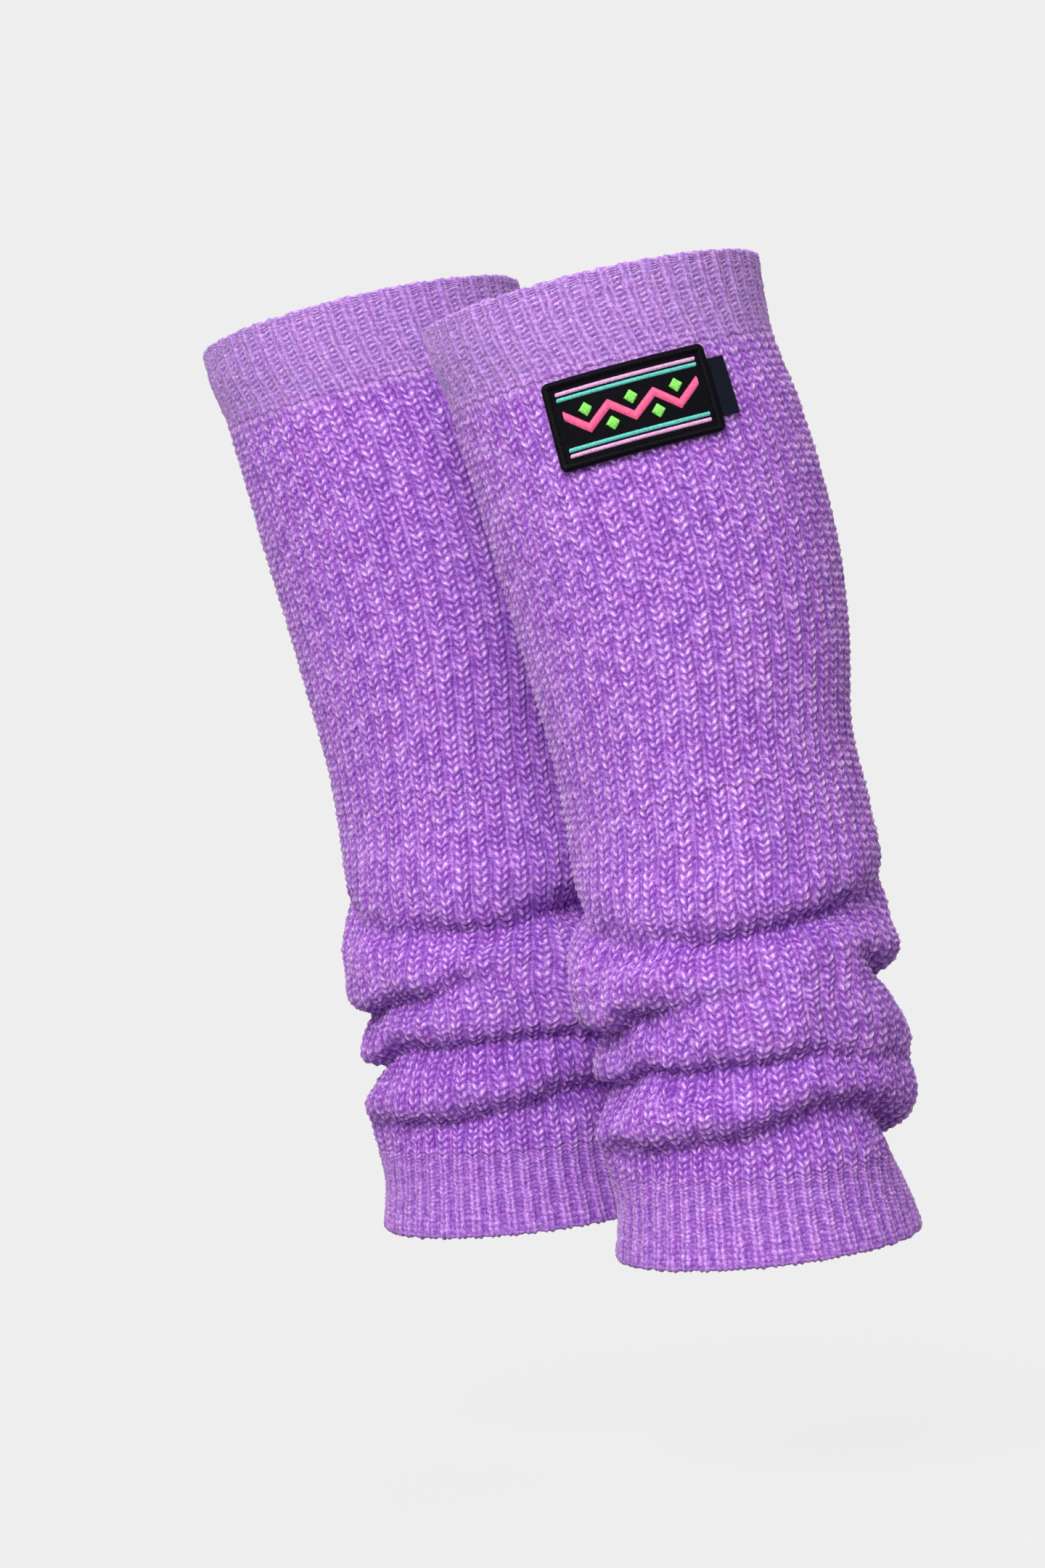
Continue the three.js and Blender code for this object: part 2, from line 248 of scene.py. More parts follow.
def stitch_paths():
    """Each stitch column's way down the tube: azimuths, levels, lengths, and lengths at the edges."""
    straight = WALE / RIBS * FULL_TURN
    azimuths, downs, starts = [], [], {}
    for top, bottom, samples in STRETCHES:
        starts[top] = sum(len(stretch) for stretch in azimuths)
        share = np.linspace(0, 1, samples, endpoint=bottom == "ankle_hem")[:, None]
        fall = edge_down(bottom, straight) - edge_down(top, straight)
        azimuth = straight + np.radians(section("turn", edge_down(top, straight) + fall * share))
        azimuths.append(azimuth)
        downs.append(edge_down(top, azimuth) * (1 - share) + edge_down(bottom, azimuth) * share)
    azimuths, downs = np.concatenate(azimuths), np.concatenate(downs)
    starts["ankle_hem"] = len(azimuths) - 1
    steps = np.linalg.norm(np.diff(cloth_point(azimuths, downs), axis=0), axis=-1)
    lengths = np.vstack([np.zeros(len(WALE)), np.cumsum(steps, axis=0)])
    return azimuths, downs, lengths, {edge: lengths[start] for edge, start in starts.items()}


PATHS = stitch_paths()


def knitted_wall(name, side, top, bottom, courses, rows=EDGE_ROWS, part=None, rolled=None):
    """Builds the closed wall of one part of a tube, with the knit's lie stored at its points.

    The part runs from one edge to another, and `part` gives its first and last course where the
    stretch between them is cut in two. `rolled` is the end that rolls over at an opening.
    """
    azimuths, downs, lengths, at_edge = PATHS
    first, last = part or (0, courses)
    course = np.array([k + row for k in range(first, last) for row in rows] + [last], float)

    def place(course_at, columns, raised=True):
        """Azimuth and level of each course on each column, and how much it is knitted as a rib."""
        azimuth, down, ribbed = [], [], []
        for column in columns:
            start, end = at_edge[top][column], at_edge[bottom][column]
            length = start + (end - start) * course_at / courses
            past_knee = length - at_edge["knee_seam"][column]
            before_ankle = at_edge["ankle_seam"][column] - length
            share = np.clip(0.5 - np.minimum(past_knee, before_ankle) / SEAM_BLEND, 0, 1)
            share = share * share * (3 - 2 * share) * np.where(past_knee > before_ankle, ANKLE_SHARE, 1)
            if raised:
                from_opening = np.minimum(length, lengths[-1, column] - length)
                lift = LEG_LIFT[column] * (1 - share) + RIB_LIFT[column] * share
                length = length - lift * np.clip(from_opening / FLAT_EDGE, 0, 1)
            azimuth.append(np.interp(length, lengths[:, column], azimuths[:, column]))
            down.append(np.interp(length, lengths[:, column], downs[:, column]))
            ribbed.append(share)
        return np.stack(azimuth, axis=1), np.stack(down, axis=1), np.stack(ribbed, axis=1)

    outer_azimuth, outer_down, ladder = place(course, range(len(WALE)))
    outer = cloth_point(outer_azimuth, outer_down)
    out, along = cloth_directions(outer_azimuth, outer_down)
    outer_course = np.repeat(course[:, None], len(WALE), axis=1)
    cover = np.ones_like(outer_course)
    # Painted shade: the yarn is painted deeper where the creases draw the cloth in
    folded = np.clip(drawn_in(outer_azimuth, outer_down) / FULL_FOLD_SHADE_DEPTH, 0, 1)
    slack = np.interp(outer_down, SLACK_DOWN, SLACK_SHARE)

    if rolled:
        end, way = (0, -1) if rolled == "top" else (-1, 1)
        roll_out, roll_along = out[end], along[end] * way
        centre = outer[end] - roll_out * CLOTH / 2
        turns = np.radians(180) * np.arange(1, ROLL_STEPS + 1) / (ROLL_STEPS + 1)
        rolls = [roll_out * math.cos(turn) + roll_along * math.sin(turn) for turn in turns]
        rolls = rolls[::-1] if rolled == "top" else rolls

        def joined(wall, roll):
            return np.concatenate([roll, wall] if rolled == "top" else [wall, roll])

        outer = joined(outer, np.stack([centre + roll * CLOTH / 2 for roll in rolls]))
        out = joined(out, np.stack(rolls))
        edge_course = np.full((ROLL_STEPS, len(WALE)), course[end] + 0.5)
        outer_course = joined(outer_course, edge_course)
        ladder = joined(ladder, np.ones_like(edge_course))
        cover = joined(cover, np.full_like(edge_course, ROLL_COVER))
        folded = joined(folded, np.zeros_like(edge_course))
        slack = joined(slack, np.zeros_like(edge_course))

    # The plain inside follows every second rib line and every second course
    inner_columns = np.arange(0, len(WALE), INNER_STEP)
    inner_course = np.append(np.arange(first, last, 2), last).astype(float)
    inner_azimuth, inner_down, inner_ladder = place(inner_course, inner_columns, raised=False)
    inner_out, _ = cloth_directions(inner_azimuth, inner_down)
    inner_slack = np.interp(inner_down, SLACK_DOWN, SLACK_SHARE)
    inner = cloth_point(inner_azimuth, inner_down) - inner_out * CLOTH

    outer_rows, columns = outer_course.shape
    inner_rows, inner_count = inner_azimuth.shape

    def outer_id(row, column):
        return row * columns + column % columns

    def inner_id(row, column):
        return outer_rows * columns + row * inner_count + column % inner_count

    row, column = np.mgrid[0:outer_rows - 1, 0:columns]
    corners = ((row, column), (row + 1, column), (row + 1, column + 1), (row, column + 1))
    faces = np.stack([outer_id(r, c).ravel() for r, c in corners], axis=1).tolist()
    row, column = np.mgrid[0:inner_rows - 1, 0:inner_count]
    corners = ((row, column), (row, column + 1), (row + 1, column + 1), (row + 1, column))
    faces += np.stack([inner_id(r, c).ravel() for r, c in corners], axis=1).tolist()
    for j in range(inner_count):
        span = range(j * INNER_STEP, (j + 1) * INNER_STEP + 1)
        faces.append([outer_id(0, c) for c in span] + [inner_id(0, j + 1), inner_id(0, j)])
        foot = [inner_id(inner_rows - 1, j), inner_id(inner_rows - 1, j + 1)]
        faces.append(foot + [outer_id(outer_rows - 1, c) for c in reversed(span)])

    points = np.concatenate([outer.reshape(-1, 3), inner.reshape(-1, 3)])
    directions = np.concatenate([out.reshape(-1, 3), -inner_out.reshape(-1, 3)])
    mesh = bpy.data.meshes.new(name)
    mesh.from_pydata(worn(points, side).tolist(), [], faces)
    inner_wale = np.tile(WALE[inner_columns], inner_rows)
    lie = {
        "wale": np.concatenate([np.tile(WALE, outer_rows), inner_wale]),
        "course": np.concatenate([outer_course.ravel(), np.repeat(inner_course, inner_count)]),
        "ladder": np.concatenate([ladder.ravel(), inner_ladder.ravel()]),
        "cover": np.concatenate([cover.ravel(), np.zeros(inner.size // 3)]),
        "folded": np.concatenate([folded.ravel(), np.zeros(inner.size // 3)]),
        "slack": np.concatenate([slack.ravel(), inner_slack.ravel()]),
    }
    for key, values in lie.items():
        mesh.attributes.new(key, "FLOAT", "POINT").data.foreach_set("value", values.astype(np.float32))
    leaned = worn(directions, side, place=False).astype(np.float32)
    mesh.attributes.new("out", "FLOAT_VECTOR", "POINT").data.foreach_set("vector", leaned.ravel())
    return add_object(name, mesh)


def add_node(tree, kind, inputs=None, **settings):
    """Adds a node with its settings, and fills its inputs with values or with other nodes' outputs."""
    node = tree.nodes.new(kind)
    for key, value in settings.items():
        setattr(node, key, value)
    for key, value in (inputs or {}).items():
        if isinstance(value, bpy.types.NodeSocket):
            tree.links.new(value, node.inputs[key])
        else:
            node.inputs[key].default_value = value
    return node


def add_math(tree, operation, *values):
    """A value worked out from others."""
    return add_node(tree, "ShaderNodeMath", dict(enumerate(values)), operation=operation).outputs[0]


def add_curve(tree, value, points):
    """A value shaped by a curve through the points."""
    node = add_node(tree, "ShaderNodeFloatCurve", {"Value": value})
    curve = node.mapping.curves[0]
    while len(curve.points) < len(points):
        curve.points.new(0.5, 0.5)
    for point, (x, y) in zip(curve.points, points):
        point.location = (x, y)
        point.handle_type = "AUTO_CLAMPED"
    node.mapping.update()
    return node.outputs["Value"]


def linear(colour):
    """An sRGB hex colour as Blender's linear values."""
    channels = [int(colour[i:i + 2], 16) / 255 for i in (1, 3, 5)]
    return [c / 12.92 if c <= 0.04045 else ((c + 0.055) / 1.055) ** 2.4 for c in channels] + [1]


def shaping_tree(name, sizes):
    """A new tree of geometry nodes with inputs for sizes, a seed and a material."""
    tree = bpy.data.node_groups.new(name, "GeometryNodeTree")
    tree.interface.new_socket("Geometry", in_out="OUTPUT", socket_type="NodeSocketGeometry")
    kinds = {"Geometry": "Geometry", **dict.fromkeys(sizes, "Float")}
    kinds.update({"Seed": "Int", "Material": "Material"})
    for key, kind in kinds.items():
        tree.interface.new_socket(key, in_out="INPUT", socket_type="NodeSocket" + kind)
    return tree, tree.nodes.new("NodeGroupInput").outputs


def dressed_tree(tree, geometry, material):
    """The tree, ended with smooth and real geometry in its material."""
    smooth = add_node(tree, "GeometryNodeSetShadeSmooth", {"Geometry": geometry})
    real = add_node(tree, "GeometryNodeRealizeInstances", {"Geometry": smooth.outputs[0]})
    inputs = {"Geometry": real.outputs[0], "Material": material}
    dressed = add_node(tree, "GeometryNodeSetMaterial", inputs)
    add_node(tree, "NodeGroupOutput", {0: dressed.outputs[0]})
    return tree


# Half a rib, from the groove between its two yarn legs to the middle of the purl valley: the height
# of the cloth, how deep it sinks in the gap between two courses, and how pale it is painted: pale
# fibre and a painted highlight. The stretched rib has its own values, and its painted light comes
# from its strands and its rungs.
HALF_RIB = [
    dict(at=0, leg_height=0.45, leg_gap=1, leg_light=0.25,
         rib_height=0.55, rib_gap=0.3, strand_light=0.2, rung_light=0),
    dict(at=0.34, leg_height=1, leg_gap=1, leg_light=1,
         rib_height=1, rib_gap=0.15, strand_light=0.55, rung_light=0),
    dict(at=0.66, leg_height=0.5, leg_gap=0.8, leg_light=0.25,
         rib_height=0.3, rib_gap=0.8, strand_light=0.05, rung_light=0.3),
    dict(at=0.82, leg_height=0.12, leg_gap=0.5, leg_light=0.25,
         rib_height=0.26, rib_gap=1, strand_light=0, rung_light=0.66),
    dict(at=1, leg_height=0.22, leg_gap=0.35, leg_light=0.55,
         rib_height=0.3, rib_gap=1, strand_light=0, rung_light=0.7),
]
# One course, from its top to its bottom: how full the yarn is between its two gaps
ROUND_YARN = [(0, 0), (0.25, 0.5), (0.5, 1), (0.75, 0.5), (1, 0)]
ROUND_RUNG = [(0, 0), (0.33, 1), (0.67, 0.4), (1, 0)]
PURL_REACH = 0.13  # the purl reaches this share of a rib to each side of the valley's middle
YARN_LEG_END = 0.6  # and the column's first yarn leg ends here, counted from the purl's start
PARTS_PER_RIB = 3.0
IDS_PER_COURSE = 200.0  # more than the parts of one course
INSIDE_LIGHT = dict(least=0.1, ribs=0.45)
RIB_TONE = 0.42  # a stretched strand runs over many stitches, so its dye is nearly even
RIB_EVENNESS = 0.7  # and it is drawn this far towards that
PLAIN_TONE = 0.5
DRIFT_SIZE = 3
DRIFT_SHARE = 4.0  # a yarn strays this many times its unevenness
SWAY_SIZE = 26


def knit_relief_tree():
    """Geometry nodes that raise the ribs and round every yarn out of the smooth wall."""
    tree, given = shaping_tree("knit_relief", (
        "Leg rib height", "Edge rib height", "Yarn depth", "Ladder depth", "Ladder light",
        "Base depth", "Unevenness", "Sway",
    ))
    math_of = functools.partial(add_math, tree)

    def stored(name, kind="FLOAT"):
        node = add_node(tree, "GeometryNodeInputNamedAttribute", {"Name": name}, data_type=kind)
        return node.outputs[0]

    def blended(factor, first, second):
        return add_node(tree, "ShaderNodeMix", {"Factor": factor, "A": first, "B": second}).outputs[0]

    wale, course, ladder, cover = (stored(key) for key in ("wale", "course", "ladder", "cover"))
    off_middle = math_of("ABSOLUTE", math_of("SUBTRACT", math_of("FRACT", wale), 0.5))
    off_middle = math_of("MULTIPLY", off_middle, 2.0)
    phase = math_of("FRACT", course)

    def half_rib(name):
        """A column of HALF_RIB as a curve across each rib."""
        return add_curve(tree, off_middle, [(row["at"], row[name]) for row in HALF_RIB])

    # Across a rib: two yarn legs beside a groove, then the purl valley
    leg_height = math_of("MULTIPLY", half_rib("leg_height"), given["Leg rib height"])
    rib_height = math_of("MULTIPLY", half_rib("rib_height"), given["Edge rib height"])
    across = math_of("SUBTRACT", blended(ladder, leg_height, rib_height), given["Base depth"])
    # Along a column: the yarn is round between two gaps
    loop = add_curve(tree, phase, ROUND_YARN)
    rung = add_curve(tree, phase, ROUND_RUNG)
    leg_gap = math_of("MULTIPLY", math_of("SUBTRACT", 1.0, loop), half_rib("leg_gap"))
    rib_gap = math_of("MULTIPLY", math_of("SUBTRACT", 1.0, rung), half_rib("rib_gap"))
    sunk = blended(
        ladder, math_of("MULTIPLY", leg_gap, given["Yarn depth"]),
        math_of("MULTIPLY", rib_gap, given["Ladder depth"]),
    )

    # Every yarn leg, and the purl between two columns, has its own tension and share of the two dyes
    from_purl = math_of("ADD", wale, PURL_REACH)
    past_purl = math_of("GREATER_THAN", math_of("FRACT", from_purl), 2 * PURL_REACH)
    past_leg = math_of("GREATER_THAN", math_of("FRACT", from_purl), YARN_LEG_END)
    part = math_of("MULTIPLY", math_of("FLOOR", from_purl), PARTS_PER_RIB)
    part = math_of("ADD", math_of("ADD", part, past_purl), past_leg)
    stitch = math_of("ADD", math_of("MULTIPLY", math_of("FLOOR", course), IDS_PER_COURSE), part)
    random = add_node(
        tree, "FunctionNodeRandomValue", {"ID": stitch, "Seed": given["Seed"]}, data_type="FLOAT"
    )
    tone = next(socket for socket in random.outputs if socket.enabled)
    uneven = math_of("MULTIPLY", math_of("SUBTRACT", tone, 0.5), given["Unevenness"])
    uneven = math_of("MULTIPLY", uneven, loop)
    height = math_of("ADD", math_of("SUBTRACT", across, sunk), uneven)
    # Inside, the purl valleys are the ribs
    inside = math_of("MULTIPLY", off_middle, given["Edge rib height"])
    height = blended(cover, inside, height)

    def scaled(vector, factor):
        inputs = {0: vector, "Scale": factor}
        return add_node(tree, "ShaderNodeVectorMath", inputs, operation="SCALE").outputs[0]

    def added(first, second):
        inputs = {0: first, 1: second}
        return add_node(tree, "ShaderNodeVectorMath", inputs, operation="ADD").outputs[0]

    def wandering(size, reach):
        """A smooth random shift that changes over `size` millimetres."""
        noise = add_node(tree, "ShaderNodeTexNoise", {"Scale": 1000 / size, "Detail": 1.0})
        return scaled(added(noise.outputs["Color"], (-0.5, -0.5, -0.5)), reach)

    # Each yarn strays a little from its place, and the loose cloth of the folds sways
    drift = wandering(DRIFT_SIZE, math_of("MULTIPLY", given["Unevenness"], DRIFT_SHARE))
    sway = wandering(SWAY_SIZE, math_of("MULTIPLY", given["Sway"], stored("slack")))
    offset = added(added(scaled(stored("out", "FLOAT_VECTOR"), height), drift), sway)

    # How far the yarn lies from a gap, as painted shade in the gaps and a painted highlight on the
    # crowns
    rung_light = math_of("MULTIPLY", half_rib("rung_light"), given["Ladder light"])
    rib_light = math_of("ADD", half_rib("strand_light"), rung_light)
    light = blended(ladder, half_rib("leg_light"), rib_light)
    out_of_gap = math_of("SUBTRACT", 1.0, blended(ladder, leg_gap, rib_gap))
    inside_light = math_of("MULTIPLY_ADD", off_middle, INSIDE_LIGHT["ribs"], INSIDE_LIGHT["least"])
    stitch_light_and_shade = blended(cover, inside_light, math_of("MULTIPLY", light, out_of_gap))
    tone = blended(ladder, tone, blended(RIB_EVENNESS, tone, RIB_TONE))
    tone = blended(cover, PLAIN_TONE, tone)
    geometry = given["Geometry"]
    stretch = math_of("MULTIPLY", ladder, given["Ladder light"])
    for name, value in (("stitch_light_and_shade", stitch_light_and_shade), ("tone", tone), ("stretch", stretch)):
        geometry = add_node(
            tree, "GeometryNodeStoreNamedAttribute",
            {"Geometry": geometry, "Name": name, "Value": value}, data_type="FLOAT", domain="POINT",
        ).outputs[0]
    moved = add_node(tree, "GeometryNodeSetPosition", {"Geometry": geometry, "Offset": offset})
    return dressed_tree(tree, moved.outputs[0], given["Material"])


def grown(piece, tree, values):
    """The piece as a plain mesh, after a tree has worked on it with the named values."""
    modifier = piece.modifiers.new(tree.name, "NODES")
    modifier.node_group = tree
    inputs = [item for item in tree.interface.items_tree if item.in_out == "INPUT"]
    sockets = {item.name: item.identifier for item in inputs}
    for name, value in values.items():
        modifier[sockets[name]] = value
    evaluated = piece.evaluated_get(bpy.context.evaluated_depsgraph_get())
    mesh = bpy.data.meshes.new_from_object(evaluated)
    piece.modifiers.remove(modifier)
    # The faces with many corners only close an end, so they stay flat
    corners = np.zeros(len(mesh.polygons), int)
    mesh.polygons.foreach_get("loop_total", corners)
    mesh.polygons.foreach_set("use_smooth", corners == 4)
    old, name = piece.data, piece.name
    piece.data = mesh
    bpy.data.meshes.remove(old)
    mesh.name = name
    return piece


def new_material(name, **finish):
    """A material, its tree, its surface with the named finish, and the place on the object."""
    material = bpy.data.materials.new(name)
    material.use_nodes = True
    tree = material.node_tree
    surface = tree.nodes["Principled BSDF"]
    for key, value in finish.items():
        surface.inputs[key.replace("_", " ")].default_value = value
    return material, tree, surface, add_node(tree, "ShaderNodeTexCoord").outputs["Object"]


def add_surface(tree, surface, colour, height, strength, depth):
    """Gives a surface its colour and a bump, with its depth in millimetres."""
    tree.links.new(colour, surface.inputs["Base Color"])
    inputs = {"Height": height, "Strength": strength, "Distance": depth * MM}
    bump = add_node(tree, "ShaderNodeBump", inputs)
    tree.links.new(bump.outputs["Normal"], surface.inputs["Normal"])


# What makes the yarn paler or deeper, on a scale from the deepest dye to the palest: a painted
# highlight and painted shade over the stitches, painted shade in the folds, and the dyes' tone and
# flecks
MARL = dict(least=0.14, stitch_light_and_shade=0.74, tone=0.3, fibre=1.05, folded=-0.16)
MARL_STOPS = [(0.0, "#7539a3"), (0.3, "#9d61c5"), (0.6, "#c895e3"), (0.95, "#efd8f6")]
FLECK = 0.9  # a fleck of one dye is about 1 mm long
HUE_SIZE = 5
HUE_DRIFT = dict(least=0.484, reach=0.04)
STRETCH_FADE = -0.14
FIBRE_SIZE = 0.45
FIBRE_BUMP = 0.35


def marl_yarn():
    """Brushed acrylic yarn in two dyes, spun together: a soft, dull fibre with pale flecks.

    The crowns of the stitches are painted pale, as pale fibre and a painted highlight, and the gaps
    between are painted deep violet, a painted shade. In the folds the yarn is painted its deepest
    colour, a painted shade, and light soaks a little way into the fibre, so that the shadows glow
    violet too.
    """
    material, tree, surface, place = new_material(
        "violet_marl_acrylic_yarn", Roughness=0.92, Specular_IOR_Level=0.15,
        Subsurface_Weight=0.5, Subsurface_Radius=(1.0, 0.5, 1.3), Subsurface_Scale=2 * MM,
        Sheen_Weight=0.3, Sheen_Roughness=0.5, Sheen_Tint=linear("#e2cdf5"),
    )
    math_of = functools.partial(add_math, tree)

    def noise(size, detail):
        """A random value that changes over `size` millimetres."""
        inputs = {"Vector": place, "Scale": 1000 / size, "Detail": detail}
        return add_node(tree, "ShaderNodeTexNoise", inputs).outputs["Fac"]

    def stored(name):
        return add_node(tree, "ShaderNodeAttribute", attribute_name=name).outputs["Fac"]

    tone = math_of("SUBTRACT", stored("tone"), 0.5)
    fibre = math_of("SUBTRACT", noise(FLECK, 2), 0.5)
    # Painted highlight on the stitch crowns, and painted shade in their gaps and in the folds
    shade = math_of("MULTIPLY", stored("stitch_light_and_shade"), MARL["stitch_light_and_shade"])
    shade = math_of("ADD", shade, math_of("MULTIPLY", tone, MARL["tone"]))
    shade = math_of("ADD", shade, math_of("MULTIPLY", fibre, MARL["fibre"]))
    shade = math_of("ADD", shade, math_of("MULTIPLY", stored("folded"), MARL["folded"]))
    ramp = add_node(tree, "ShaderNodeValToRGB", {"Fac": math_of("ADD", shade, MARL["least"])})
    while len(ramp.color_ramp.elements) < len(MARL_STOPS):
        ramp.color_ramp.elements.new(0.5)
    for element, (position, colour) in zip(ramp.color_ramp.elements, MARL_STOPS):
        element.position = position
        element.color = linear(colour)
    # One dye is pinker than the other, so the hue drifts a little over a stitch or two. Stretched, the
    # rib shows more of its pale fibre.
    hue = math_of("MULTIPLY_ADD", noise(HUE_SIZE, 1), HUE_DRIFT["reach"], HUE_DRIFT["least"])
    strength = math_of("MULTIPLY_ADD", stored("stretch"), STRETCH_FADE, 1.0)
    dyed = add_node(
        tree, "ShaderNodeHueSaturation",
        {"Hue": hue, "Saturation": strength, "Color": ramp.outputs["Color"]},
    )
    add_surface(tree, surface, dyed.outputs["Color"], noise(FIBRE_SIZE, 2), 0.55, FIBRE_BUMP)
    return material


YARN = marl_yarn()
RELIEF = knit_relief_tree()
KNIT_VALUES = {
    "Leg rib height": 1.3 * MM, "Yarn depth": 0.65 * MM, "Ladder depth": 0.55 * MM,
    "Base depth": 0.55 * MM, "Unevenness": 0.35 * MM, "Sway": 9 * MM,
    "Material": YARN,
}
# The knee rib is stretched flat, so its ladders show, and the ankle rib closes up over its own
KNEE_VALUES = {"Edge rib height": 0.9 * MM, "Ladder light": 1.0}
ANKLE_VALUES = {"Edge rib height": 1.6 * MM, "Ladder light": 0.4}


def knit_part(name, node, side, flat, held, seed, edge_values, **shape):
    """Knits one part of a leg warmer in its solid's place. `flat` is its cut, in millimetres, and is
    not used.
    """
    values = {**KNIT_VALUES, **edge_values, "Seed": seed}
    piece = grown(knitted_wall(name, side, **shape), RELIEF, values)
    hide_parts(node)
    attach(piece, "root")
    return piece


# Knee ribs
# A 1x1 rib stretched over the calf: pairs of long pale strands with a ladder of purl rungs between
# them, 1.7 mm apart. The band ends in a rolled, beaded edge.
for seed, side in enumerate(PLACES):
    knit_part(
        f"{side}_knee_rib_knit", f"{side}_knee_rib", side, flat=(385, 34), held="stretched", seed=seed,
        edge_values=KNEE_VALUES,
        top="knee_opening", bottom="knee_seam", courses=18, rolled="top",
    )

# Legs
# Fifty columns of plain stitches, 7.5 mm apart and about 3 mm to a course, stand up between purls.
# The upper part lies smooth over the calf, and the lower part slouches into the folds. They are one
# piece of knitting, drawn here as two meshes that meet between two courses.
LEG_COURSES = 106
CALF_COURSES = 54
for seed, side in enumerate(PLACES):
    knit_part(
        f"{side}_calf_knit", f"{side}_leg", side, flat=(375, 170), held="stretched", seed=10 + seed,
        edge_values=KNEE_VALUES,
        top="knee_seam", bottom="ankle_seam", courses=LEG_COURSES, rows=LEG_ROWS,
        part=(0, CALF_COURSES),
    )
    knit_part(
        f"{side}_slouch_knit", f"{side}_leg", side, flat=(365, 165), held="gathered", seed=20 + seed,
        edge_values=ANKLE_VALUES,
        top="knee_seam", bottom="ankle_seam", courses=LEG_COURSES, rows=LEG_ROWS,
        part=(CALF_COURSES, LEG_COURSES),
    )

# Ankle ribs
# The same rib as at the knee, less stretched, flaring over the foot to a thin hem.
for seed, side in enumerate(PLACES):
    knit_part(
        f"{side}_ankle_rib_knit", f"{side}_ankle_rib", side, flat=(350, 30), held="stretched",
        seed=30 + seed, edge_values=ANKLE_VALUES,
        top="ankle_seam", bottom="ankle_hem", courses=18, rolled="bottom",
    )


# Patch
# An embroidered patch, 60 x 32 mm, sewn over the near leg just under its knee rib. Its ground is
# black polyester twill, its edge is overlocked in black thread, and the motifs are satin stitch.
# They are a zigzag between two pairs of straight lines, with a diamond in each of its hollows.
PATCH_WIDTH = 60
PATCH_HEIGHT = 32
PATCH_DOWN = 46.5
PATCH_AZIMUTH = math.radians(0.9)
PATCH_TURN = math.radians(4.4)
PATCH_CLEAR = 1.0  # from the cloth's middle surface to the patch's underside
PATCH_GROUND = 1.2  # the woven ground's thickness
PATCH_CORNER = 2.5  # the corners' radius


def patch_place(across, up, out):
    """A place on the patch, from its middle, as a point of the upright leg."""
    across, up, out = np.broadcast_arrays(*(np.asarray(v, float) for v in (across, up, out)))
    right = across * math.cos(PATCH_TURN) - up * math.sin(PATCH_TURN)
    raised = across * math.sin(PATCH_TURN) + up * math.cos(PATCH_TURN)
    down = PATCH_DOWN - raised
    sway = section("middle", down) - section("middle", PATCH_DOWN)
    azimuth = PATCH_AZIMUTH + (right - sway) / section("front", PATCH_DOWN)
    outward, _ = cloth_directions(azimuth, down)
    return cloth_point(azimuth, down) + outward * (PATCH_CLEAR + out)[..., None]


def patch_object(name, points, faces, edges=()):
    mesh = bpy.data.meshes.new(name)
    mesh.from_pydata(worn(points, "near").tolist(), edges, faces)
    return add_object(name, mesh)


def rounded_edge(distance, inset):
    """The place at a distance along the patch's rounded edge, moved in by inset."""
    half = np.array([PATCH_WIDTH / 2 - PATCH_CORNER, PATCH_HEIGHT / 2 - PATCH_CORNER])
    corner = PATCH_CORNER * math.pi / 2
    centres = half * np.array([(1, 1), (-1, 1), (-1, -1), (1, -1)])
    straights = [2 * half[0], 2 * half[1]] * 2
    for k in range(4):
        quarter = k * math.pi / 2
        if distance < corner:
            turn = quarter + distance / PATCH_CORNER
            outward = np.array([math.cos(turn), math.sin(turn)])
            return centres[k] + outward * (PATCH_CORNER - inset)
        distance -= corner
        if distance < straights[k]:
            outward = np.array([math.cos(quarter + math.pi / 2), math.sin(quarter + math.pi / 2)])
            along = np.array([-outward[1], outward[0]])
            return centres[k] + outward * (PATCH_CORNER - inset) + along * distance
        distance -= straights[k]
    return rounded_edge(distance, inset)


EDGE_LENGTH = 2 * (PATCH_WIDTH + PATCH_HEIGHT) - (8 - 2 * math.pi) * PATCH_CORNER
THREAD_SIDES = 5
THREAD_UNEVENNESS = 0.25


def threads_tree():
    """Geometry nodes that turn each line of a mesh into a round sewing thread."""
    tree, given = shaping_tree("sewn_threads", ("Thread radius", "Unevenness"))
    lines = add_node(tree, "GeometryNodeMeshToCurve", {"Mesh": given["Geometry"]})
    random = add_node(tree, "FunctionNodeRandomValue", {"Seed": given["Seed"]}, data_type="FLOAT")
    change = next(socket for socket in random.outputs if socket.enabled)
    change = add_math(tree, "MULTIPLY_ADD", change, given["Unevenness"], 1.0)
    radius = add_math(tree, "MULTIPLY", change, given["Thread radius"])
    sized = add_node(
        tree, "GeometryNodeSetCurveRadius", {"Curve": lines.outputs[0], "Radius": radius}
    )
    ring = add_node(
        tree, "GeometryNodeCurvePrimitiveCircle", {"Resolution": THREAD_SIDES, "Radius": 1.0}
    )
    reach = add_node(tree, "GeometryNodeInputRadius")
    tubes = add_node(
        tree, "GeometryNodeCurveToMesh",
        {"Curve": sized.outputs[0], "Profile Curve": ring.outputs[0], "Scale": reach.outputs[0],
         "Fill Caps": True},
    )
    return dressed_tree(tree, tubes.outputs[0], given["Material"])


def sewn(name, stitches, radius, material, seed):
    """Sews a piece of threads. Each stitch is a list of places (across, up, out) on the patch."""
    places = np.array(stitches, float)
    count, steps, _ = places.shape
    points = patch_place(*np.moveaxis(places.reshape(-1, 3), -1, 0))
    edges = [(k * steps + i, k * steps + i + 1) for k in range(count) for i in range(steps - 1)]
    piece = patch_object(name, points, [], edges)
    grown(piece, SEWN_THREADS, {
        "Thread radius": radius * MM, "Unevenness": THREAD_UNEVENNESS, "Seed": seed,
        "Material": material,
    })
    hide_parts("patch")
    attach(piece, "root")
    return piece


HALF_WAVE = math.pi / 20  # from dark to pale in a wave texture at scale 1
PALE_PATCH = 2.5
WEAVE_BUMP = 0.12
TWIST = 0.5
TWIST_BUMP = 0.08


